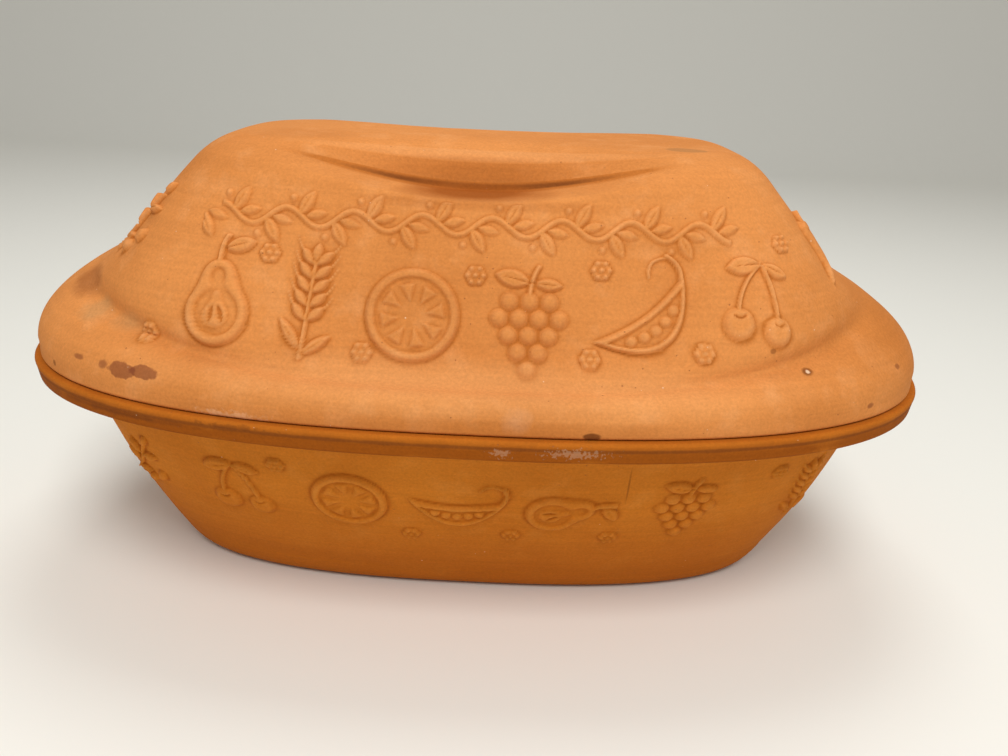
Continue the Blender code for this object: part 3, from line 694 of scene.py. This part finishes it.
def make_lid(material):
    """Make the lid, carved on the outside and plain inside."""
    end_corner = at(LID_HALF_LENGTH - END_CORNER_REACH, END_CORNER_RISE)
    end_foot = at(LID_HALF_LENGTH - END_FOOT_REACH, END_FOOT_RISE)
    end_top = at(LID_HALF_LENGTH - END_SHOULDER_REACH, END_SHOULDER_RISE)
    slope = end_foot - end_corner
    end = lid_outside(LID_HALF_LENGTH, end_corner, slope, end_foot, end_top, TOP_HALF_LENGTH)
    side_corner = at(LID_HALF_WIDTH - SIDE_CORNER_REACH, SIDE_CORNER_RISE)
    side_foot = at(LID_HALF_WIDTH - SIDE_FOOT_REACH, SIDE_FOOT_RISE)
    side_top = at(LID_HALF_WIDTH - SIDE_SHOULDER_REACH, SIDE_SHOULDER_RISE)
    side = lid_outside(LID_HALF_WIDTH, side_corner, INWARD, side_foot, side_top, TOP_HALF_WIDTH)
    lip = at(LID_HALF_WIDTH - HOLLOW_LIP_REACH, HOLLOW_LEDGE - HOLLOW_LIP_DROP)
    middle = lid_outside(LID_HALF_WIDTH, side_corner, INWARD, side_foot, lip)
    seat_edge = LID_HALF_WIDTH - SEAT_WIDTH
    squareness = blend(side[:, 0], seat_edge, side_foot[0], RIM_SQUARENESS, LID_SQUARENESS)
    outside = rings(end, side, middle, squareness, LID_SEGMENTS)
    outside[:, :, 2] += LID_BOTTOM
    normals = surface_normals(outside)
    height = np.zeros(outside.shape[:2])
    low, high = LID_BOTTOM + SIDE_FOOT_RISE, LID_BOTTOM + SIDE_SHOULDER_RISE
    for drawn in LID_FRIEZE:
        stamp(height, outside, normals, drawn, low, high, LID_CARVING)
    wall = slice(WALL_ROW, WALL_ROW + LID_WALL_POINTS)
    lid_border(height[wall], outside[wall], low + BORDER_SHARE * (high - low))
    # The carving attribute darkens the relief's grooves and pales its raised edges, partly as dirt and wear
    # and partly as painted shade and highlight.
    shade = height - blur(height, 6)
    hollow = np.maximum(0, 1 - (outside[:, :, 0] / HOLLOW_HALF_LENGTH) ** 2)
    ridge_wall = slice(RIDGE_ROW, RIDGE_EDGE_ROW)
    ridge_edge = slice(RIDGE_EDGE_ROW, RIDGE_EDGE_ROW + EDGE_POINTS + 1)
    # Painted shade along the hollow's crease and down the ridge's wall, and a painted highlight along the
    # ridge's edge.
    for row, strength in enumerate(CREASE_FADE, CREASE_ROW - 3):
        shade[row] -= CREASE_SHADE * strength * hollow[row] ** 2
    shade[ridge_wall] -= RIDGE_SHADE * hollow[ridge_wall]
    shade[ridge_edge] += EDGE_HIGHLIGHT * hollow[ridge_edge]
    waves = unevenness(outside) * UNEVENNESS * (outside[:, :, 2] > LID_BOTTOM + RIM_FACE_RISE)
    below_top = np.clip((LID_BOTTOM + LID_RISE - outside[:, :, 2]) / TOP_CALM, 0, 1)
    height += np.where(waves > 0, waves * below_top, waves)
    outside = outside + normals * height[:, :, None]

    plain = LID_SEGMENTS // PLAIN_STEP
    inner = [lid_inside(rim, section) for rim, section in (
        (LID_HALF_LENGTH, end), (LID_HALF_WIDTH, side), (LID_HALF_WIDTH, middle))]
    inner = [np.concatenate((section, closing(section, (0.7, 0.4, 0.1)))) for section in inner]
    place = inner[1][:, 0] + LID_CORNER_INSET
    n = blend(place, seat_edge, side_foot[0], RIM_SQUARENESS, LID_SQUARENESS)
    inside = rings(*inner, n, plain)
    inside[:, :, 2] += LID_BOTTOM
    top = [np.array(closing(section, (0.9, 0.7, 0.4, 0.1))) for section in (end, side, middle)]
    crown = rings(*top, [LID_SQUARENESS] * 4, plain)
    crown[:, :, 2] += LID_BOTTOM
    stack = list(inside[::-1]) + list(outside) + list(crown)
    shades = [np.zeros(plain)] * len(inside) + list(shade) + [np.zeros(plain)] * len(crown)
    return make_piece("carved_lid", stack, shades, "cover", "lid", material)


def put(tree, kind, inputs, **settings):
    """Add a node, and set or link its inputs by name or number."""
    node = tree.nodes.new("ShaderNode" + kind)
    for name, value in settings.items():
        setattr(node, name, value)
    for name, value in inputs.items():
        if isinstance(value, bpy.types.NodeSocket):
            tree.links.new(value, node.inputs[name])
        else:
            node.inputs[name].default_value = value
    return node


def mixed(tree, factor, first, second, blend_type="MIX"):
    """Mix two colours and give the result."""
    inputs = {0: factor, 6: first, 7: second}
    node = put(tree, "Mix", inputs, data_type="RGBA", blend_type=blend_type)
    return node.outputs[2]


def sums(tree, operation, first, second):
    """Work out one number from two."""
    return put(tree, "Math", {0: first, 1: second}, operation=operation).outputs[0]


def ranged(tree, value, low, high, new_low=0.0, new_high=1.0):
    """Move a value from one range to another, and keep it there."""
    inputs = {0: value, 1: low, 2: high, 3: new_low, 4: new_high}
    return put(tree, "MapRange", inputs).outputs[0]


def new_group(name, inputs, outputs):
    """Start a node group with named inputs and outputs."""
    tree = bpy.data.node_groups.new(name, "ShaderNodeTree")
    for label, kind in inputs:
        tree.interface.new_socket(label, in_out="INPUT", socket_type="NodeSocket" + kind)
    for label, kind in outputs:
        tree.interface.new_socket(label, in_out="OUTPUT", socket_type="NodeSocket" + kind)
    given = tree.nodes.new("NodeGroupInput").outputs
    return tree, given, tree.nodes.new("NodeGroupOutput")


def make_clay_tone():
    """Make the group that colours fired clay, with painted shade and highlights from its carving, and gives
    its grain.
    """
    tree, given, out = new_group(
        "clay_tone",
        (("Place", "Vector"), ("Body", "Color"), ("Deep", "Color"), ("Pale", "Color"),
         ("Carving", "Float")),
        (("Colour", "Color"), ("Grain", "Color"), ("Roughness", "Float"), ("Height", "Float")),
    )
    place = given["Place"]
    clouds = put(tree, "TexNoise", {"Vector": place, "Scale": 14.0, "Detail": 4.0, "Roughness": 0.55})
    blotch = put(tree, "TexNoise", {"Vector": place, "Scale": 70.0, "Detail": 5.0, "Roughness": 0.6})
    grain = put(tree, "TexNoise", {"Vector": place, "Scale": 900.0, "Detail": 4.0, "Roughness": 0.65})
    stretched = put(tree, "Mapping", {"Vector": place, "Scale": (9.0, 9.0, 650.0)})
    streaks = put(tree, "TexNoise", {"Vector": stretched.outputs[0], "Scale": 1.0, "Detail": 3.0})

    deep = ranged(tree, clouds.outputs[0], 0.42, 0.70, 0.0, 0.38)
    colour = mixed(tree, deep, given["Body"], given["Deep"])
    pale = ranged(tree, blotch.outputs[0], 0.52, 0.78, 0.0, 0.40)
    colour = mixed(tree, pale, colour, given["Pale"])
    # Raised edges of the carving pale, partly as wear and partly as painted highlight; its grooves darken,
    # partly as dirt and partly as painted shade; where deepest, along the hollow's crease, it goes near
    # black as painted shade.
    wear_and_highlight = ranged(tree, given["Carving"], 0.00005, 0.0006, 0.0, 0.35)
    colour = mixed(tree, wear_and_highlight, colour, given["Pale"])
    dirt_and_shade = ranged(tree, given["Carving"], -0.00002, -0.0004, 0.0, 0.85)
    colour = mixed(tree, dirt_and_shade, colour, given["Deep"])
    cleft = ranged(tree, given["Carving"], -0.0007, -0.0022, 0.0, 0.90)
    colour = mixed(tree, cleft, colour, CLEFT)
    tree.links.new(colour, out.inputs["Colour"])
    level = sums(tree, "MULTIPLY_ADD", grain.outputs[0], 0.50)
    level.node.inputs[2].default_value = 0.75
    streak_level = ranged(tree, streaks.outputs[0], 0.3, 0.7, 0.955, 1.035)
    level = sums(tree, "MULTIPLY", level, streak_level)
    shade = put(tree, "CombineColor", {0: level, 1: level, 2: level})
    tree.links.new(shade.outputs[0], out.inputs["Grain"])

    rough = ranged(tree, blotch.outputs[0], 0.3, 0.7, 0.80, 0.94)
    tree.links.new(rough, out.inputs["Roughness"])
    rise = sums(tree, "MULTIPLY", streaks.outputs[0], 0.45)
    rise = sums(tree, "ADD", rise, grain.outputs[0])
    tree.links.new(rise, out.inputs["Height"])
    return tree


def make_pits():
    """Make the group that scatters small pits and pale specks over clay."""
    tree, given, out = new_group(
        "clay_pits",
        (("Place", "Vector"), ("Spread", "Float"), ("Share", "Float"), ("Radius", "Float")),
        (("Mask", "Float"),),
    )
    cells = put(tree, "TexVoronoi", {"Vector": given["Place"], "Scale": given["Spread"], "Randomness": 1.0})
    chance = put(tree, "SeparateColor", {0: cells.outputs["Color"]})
    chosen = sums(tree, "LESS_THAN", chance.outputs[0], given["Share"])
    size = sums(tree, "MULTIPLY", given["Radius"], ranged(tree, chance.outputs[1], 0.0, 1.0, 0.4, 1.0))
    near = sums(tree, "DIVIDE", cells.outputs["Distance"], size)
    spot = ranged(tree, near, 0.7, 1.0, 1.0, 0.0)
    tree.links.new(sums(tree, "MULTIPLY", spot, chosen), out.inputs["Mask"])
    return tree


def make_patch():
    """Make the group that marks one ragged patch of the clay."""
    tree, given, out = new_group(
        "clay_patch",
        (("Place", "Vector"), ("Centre", "Vector"), ("Reach", "Vector"),
         ("Ragged", "Float"), ("Fine", "Float"), ("Core", "Float")),
        (("Mask", "Float"),),
    )
    offset = put(tree, "VectorMath", {0: given["Place"], 1: given["Centre"]}, operation="SUBTRACT")
    scaled = put(tree, "VectorMath", {0: offset.outputs[0], 1: given["Reach"]}, operation="DIVIDE")
    away = put(tree, "VectorMath", {0: scaled.outputs[0]}, operation="LENGTH").outputs["Value"]
    noise = put(tree, "TexNoise", {"Vector": given["Place"], "Scale": given["Fine"], "Detail": 5.0})
    jag = sums(tree, "SUBTRACT", noise.outputs[0], 0.5)
    jag = sums(tree, "MULTIPLY", jag, given["Ragged"])
    edge = sums(tree, "ADD", away, jag)
    tree.links.new(ranged(tree, edge, 1.0, given["Core"], 0.0, 1.0), out.inputs["Mask"])
    return tree


def make_clay(name, body, deep, pale, patches):
    """Make a clay material from its three tones and its patches, which are stains, soot, dust and wear, and
    also painted shade and highlights.
    """
    material = bpy.data.materials.new(name)
    material.use_nodes = True
    tree = material.node_tree
    shader = tree.nodes["Principled BSDF"]
    place = put(tree, "TexCoord", {}).outputs["Object"]
    carving = put(tree, "Attribute", {}, attribute_name="carving").outputs["Fac"]
    inputs = {"Place": place, "Body": body, "Deep": deep, "Pale": pale, "Carving": carving}
    tone = put(tree, "Group", {}, node_tree=TONE)
    for label, value in inputs.items():
        if isinstance(value, bpy.types.NodeSocket):
            tree.links.new(value, tone.inputs[label])
        else:
            tone.inputs[label].default_value = value
    colour = tone.outputs["Colour"]
    for colour_of, centre, reach, ragged, fine, core, strength in patches:
        patch = put(tree, "Group", {}, node_tree=PATCH)
        tree.links.new(place, patch.inputs["Place"])
        patch.inputs["Centre"].default_value = centre
        patch.inputs["Reach"].default_value = reach
        patch.inputs["Ragged"].default_value = ragged
        patch.inputs["Fine"].default_value = fine
        patch.inputs["Core"].default_value = core
        mask = sums(tree, "MULTIPLY", patch.outputs[0], strength)
        colour = mixed(tree, mask, colour, colour_of)
    height = tone.outputs["Height"]
    for spread, share, radius, colour_of, strength, depth in PITS:
        pits = put(tree, "Group", {}, node_tree=PIT)
        tree.links.new(place, pits.inputs["Place"])
        pits.inputs["Spread"].default_value = spread
        pits.inputs["Share"].default_value = share
        pits.inputs["Radius"].default_value = radius
        mask = sums(tree, "MULTIPLY", pits.outputs[0], strength)
        colour = mixed(tree, mask, colour, colour_of)
        height = sums(tree, "ADD", height, sums(tree, "MULTIPLY", pits.outputs[0], depth))
    colour = mixed(tree, 1.0, colour, tone.outputs["Grain"], "MULTIPLY")
    bump = put(tree, "Bump", {"Height": height, "Distance": 0.00025, "Strength": 0.55})
    tree.links.new(colour, shader.inputs["Base Color"])
    tree.links.new(tone.outputs["Roughness"], shader.inputs["Roughness"])
    tree.links.new(bump.outputs[0], shader.inputs["Normal"])
    shader.inputs["Specular IOR Level"].default_value = 0.08
    return material


# Tones of the clay, its stains and wear, and painted shade and highlights, as linear colours.
LID_BODY, LID_DEEP, LID_PALE = (0.65, 0.245, 0.064, 1), (0.45, 0.135, 0.020, 1), (0.78, 0.36, 0.14, 1)
# The dish's tones are darker and more saturated than the lid's, partly as painted shade.
DISH_BODY, DISH_DEEP, DISH_PALE = (0.62, 0.200, 0.019, 1), (0.40, 0.098, 0.006, 1), (0.70, 0.27, 0.05, 1)
RUST, SOOT, DUST = (0.20, 0.050, 0.020, 1), (0.33, 0.16, 0.055, 1), (0.84, 0.60, 0.40, 1)
# The shaded and brown tones are painted shade. The near-black one serves painted shade along creases and
# lines, and small dark chips and cracks.
SHADED, BROWN_SHADE = (0.30, 0.07, 0.006, 1), (0.42, 0.125, 0.020, 1)
ASH, CLEFT = (0.42, 0.27, 0.12, 1), (0.14, 0.036, 0.007, 1)
# The lip and band tones darken the dish's rim, partly as stain and partly as painted shade.
LIP, BAND = (0.44, 0.120, 0.010, 1), (0.26, 0.060, 0.003, 1)
# The pale tone is a painted highlight. The scorch tone is partly scorch and partly painted shade.
PALE, SCORCH_AND_SHADE = (0.78, 0.40, 0.16, 1), (0.36, 0.115, 0.028, 1)
# Pits and specks: cells to the metre, share of cells, radius in cells, colour, strength, depth.
PITS = (
    (420.0, 0.10, 0.16, (0.36, 0.12, 0.04, 1), 0.7, -3.0),
    (260.0, 0.06, 0.10, DUST, 0.6, 0.5),
)
# Patches of stains, soot, dust and wear, and of painted shade and highlights: colour, centre, reach,
# raggedness, waves to the metre, share of full strength across the middle, strength.
LID_PATCHES = (
    # A painted highlight along the top of the flange in front.
    (PALE, (0.0, -0.1130, 0.1170), (0.150, 0.030, 0.0100), 0.80, 45.0, 0.3, 0.25),
    # Painted shade along the foot of the flange in front.
    (BROWN_SHADE, (0.0, -0.1200, 0.1040), (0.150, 0.020, 0.0060), 0.80, 60.0, 0.2, 0.45),
    # Painted shade over the right ear.
    (LID_DEEP, (0.1650, -0.0450, 0.1270), (0.045, 0.060, 0.0300), 0.60, 30.0, 0.2, 0.60),
    # Painted shade on the hollows' ledges, in front and behind.
    (SHADED, (0.0, -0.0600, 0.1752), (0.070, 0.024, 0.0045), 0.30, 60.0, 0.4, 0.90),
    (SHADED, (0.0, 0.0600, 0.1752), (0.070, 0.024, 0.0045), 0.30, 60.0, 0.4, 0.90),
    # Painted shade on the ridge's walls, in front and behind.
    (BROWN_SHADE, (0.0, -0.0460, 0.1820), (0.050, 0.010, 0.0080), 0.50, 70.0, 0.3, 0.60),
    (BROWN_SHADE, (0.0, 0.0460, 0.1820), (0.050, 0.010, 0.0080), 0.50, 70.0, 0.3, 0.60),
    (RUST, (-0.1256, -0.0990, 0.1129), (0.0072, 0.0080, 0.0031), 0.90, 240.0, 0.85, 0.70),
    (RUST, (-0.1165, -0.1025, 0.1138), (0.0064, 0.0080, 0.0024), 0.90, 240.0, 0.85, 0.70),
    (RUST, (-0.1343, -0.0953, 0.1135), (0.0024, 0.0024, 0.0018), 0.70, 300.0, 0.6, 0.60),
    (RUST, (-0.1463, -0.0884, 0.1137), (0.0036, 0.0030, 0.0013), 0.70, 300.0, 0.6, 0.60),
    (CLEFT, (-0.1615, -0.0775, 0.1068), (0.0016, 0.0016, 0.0014), 0.60, 300.0, 0.6, 0.60),
    # A dark patch on the left ear, partly scorch and partly painted shade.
    (SCORCH_AND_SHADE, (-0.1560, -0.0500, 0.1340), (0.0220, 0.0180, 0.0065), 1.10, 80.0, 0.4, 0.75),
    (ASH, (-0.1440, -0.0714, 0.1280), (0.0120, 0.0080, 0.0070), 1.20, 130.0, 0.3, 0.35),
    (ASH, (-0.1281, -0.0820, 0.1267), (0.0100, 0.0080, 0.0050), 1.20, 130.0, 0.3, 0.30),
    (DUST, (0.0180, -0.1195, 0.1087), (0.0060, 0.0060, 0.0062), 1.00, 200.0, 0.2, 0.13),
    (DUST, (-0.0811, -0.1137, 0.1031), (0.0150, 0.0060, 0.0022), 3.00, 700.0, 0.4, 0.22),
    (CLEFT, (0.0443, -0.1184, 0.1036), (0.0034, 0.0040, 0.0016), 0.60, 300.0, 0.7, 0.85),
    (CLEFT, (0.1241, -0.0900, 0.1217), (0.0026, 0.0026, 0.0020), 0.50, 300.0, 0.6, 0.70),
    (DUST, (0.1241, -0.0900, 0.1216), (0.0010, 0.0010, 0.0008), 1.50, 800.0, 0.5, 0.80),
    (CLEFT, (0.1101, -0.0916, 0.1293), (0.0016, 0.0016, 0.0012), 0.50, 300.0, 0.6, 0.55),
    (RUST, (0.1509, -0.0864, 0.1082), (0.0026, 0.0026, 0.0013), 0.70, 300.0, 0.6, 0.60),
    (RUST, (0.1663, -0.0680, 0.1181), (0.0024, 0.0022, 0.0012), 0.70, 300.0, 0.6, 0.55),
    (SOOT, (0.0816, -0.0316, 0.1932), (0.0090, 0.0080, 0.0040), 0.60, 120.0, 0.8, 0.50),
)
DISH_PATCHES = (
    # Painted shade, darker towards the foot of the dish.
    (DISH_DEEP, (0.0, 0.0, 0.0), (1.0, 1.0, 0.0600), 0.60, 25.0, 0.3, 0.60),
    # The dish rim's dark band, its lip, the dark line under the lip and the darker rim at the left front:
    # partly stain and partly painted shade.
    (BAND, (0.0, 0.0, 0.0965), (1.0, 1.0, 0.0075), 1.00, 55.0, 0.3, 0.90),
    (LIP, (0.0, 0.0, 0.1014), (1.0, 1.0, 0.0036), 0.80, 55.0, 0.3, 0.75),
    (CLEFT, (0.0, 0.0, 0.0990), (1.0, 1.0, 0.0010), 0.80, 90.0, 0.4, 0.60),
    (CLEFT, (-0.1300, -0.1020, 0.0975), (0.0450, 0.0300, 0.0016), 1.60, 160.0, 0.3, 0.60),
    (CLEFT, (-0.0811, -0.1150, 0.1000), (0.0150, 0.0060, 0.0012), 3.00, 500.0, 0.5, 0.40),
    (DUST, (0.0130, -0.1213, 0.0973), (0.0034, 0.0030, 0.0018), 5.00, 900.0, 0.5, 0.18),
    (DUST, (0.0389, -0.1206, 0.0979), (0.0100, 0.0030, 0.0018), 5.00, 900.0, 0.5, 0.18),
    (CLEFT, (0.0627, -0.0915, 0.0725), (0.0005, 0.0130, 0.0125), 0.40, 300.0, 0.4, 0.45),
)

TONE, PIT, PATCH = make_clay_tone(), make_pits(), make_patch()
# Both clays carry painted shade and highlights in their colour.
dish = make_dish(make_clay("dish_clay_with_painted_light", DISH_BODY, DISH_DEEP, DISH_PALE, DISH_PATCHES))
lid = make_lid(make_clay("lid_clay_with_painted_light", LID_BODY, LID_DEEP, LID_PALE, LID_PATCHES))

# The studio: floor with a backdrop that curves up behind, in metres.
FLOOR_COLOUR = (0.84, 0.83, 0.77, 1)
FLOOR_HALF_WIDTH, FLOOR_FRONT, FLOOR_BACK, BACKDROP_ROUND, BACKDROP_TOP = 4.0, -3.0, 1.6, 0.8, 3.0


def make_floor():
    """Make the floor and backdrop as one sheet."""
    profile = [(FLOOR_FRONT, 0.0), (FLOOR_BACK, 0.0)]
    for step in range(1, 17):
        turn = math.pi / 2 * step / 16
        back, rise = math.sin(turn), 1 - math.cos(turn)
        profile.append((FLOOR_BACK + BACKDROP_ROUND * back, BACKDROP_ROUND * rise))
    profile.append((FLOOR_BACK + BACKDROP_ROUND, BACKDROP_TOP))
    points = [(x, y, z) for y, z in profile for x in (-FLOOR_HALF_WIDTH, FLOOR_HALF_WIDTH)]
    faces = [(2 * i, 2 * i + 1, 2 * i + 3, 2 * i + 2) for i in range(len(profile) - 1)]
    mesh = bpy.data.meshes.new("studio_floor")
    mesh.from_pydata(points, [], faces)
    mesh.shade_smooth()
    material = bpy.data.materials.new("floor_paint")
    material.use_nodes = True
    shader = material.node_tree.nodes["Principled BSDF"]
    shader.inputs["Base Color"].default_value = FLOOR_COLOUR
    shader.inputs["Roughness"].default_value = 0.9
    shader.inputs["Specular IOR Level"].default_value = 0.1
    mesh.materials.append(material)
    floor = bpy.data.objects.new("studio_floor", mesh)
    bpy.context.scene.collection.objects.link(floor)


def make_lamp(name, place, target, size, power):
    """Hang a square soft lamp that faces a target."""
    light = bpy.data.lights.new(name, "AREA")
    light.shape = "SQUARE"
    light.size = size
    light.energy = power
    lamp = bpy.data.objects.new(name, light)
    lamp.location = place
    lamp.rotation_euler = (Vector(target) - Vector(place)).to_track_quat("-Z", "Y").to_euler()
    bpy.context.scene.collection.objects.link(lamp)


def make_camera():
    """Set the camera at the photograph's viewing angle."""
    turn, rise, roll, distance = 0.00636, 0.34678, 0.04463, 0.42952
    target = Vector((0.01231, 0.0, 0.08109))
    back = Vector((math.sin(turn) * math.cos(rise), -math.cos(turn) * math.cos(rise), math.sin(rise)))
    right = (-back).cross(Vector((0, 0, 1))).normalized()
    up = right.cross(-back)
    rolled_right = math.cos(roll) * right + math.sin(roll) * up
    rolled_up = math.cos(roll) * up - math.sin(roll) * right
    data = bpy.data.cameras.new("studio_camera")
    data.sensor_width = 36.0
    data.lens = 32.143
    camera = bpy.data.objects.new("studio_camera", data)
    camera.matrix_world = Matrix.Translation(target + back * distance) @ Matrix(
        (rolled_right, rolled_up, back)).transposed().to_4x4()
    bpy.context.scene.collection.objects.link(camera)
    bpy.context.scene.camera = camera


def light_world(colour, strength):
    """Fill the studio with even light."""
    world = bpy.data.worlds.new("studio_world")
    world.use_nodes = True
    background = world.node_tree.nodes["Background"]
    background.inputs["Color"].default_value = colour
    background.inputs["Strength"].default_value = strength
    bpy.context.scene.world = world


make_floor()
make_lamp("overhead_lamp", (0.05, 0.40, 1.45), (0.0, 0.0, 0.1), 0.7, 6.2)
make_lamp("front_lamp", (0.12, -1.15, 1.45), (0.0, 0.0, 0.1), 0.8, 23.0)
make_camera()
light_world((1.0, 0.98, 0.95, 1), 0.36)
bpy.context.scene.view_settings.view_transform = "Standard"
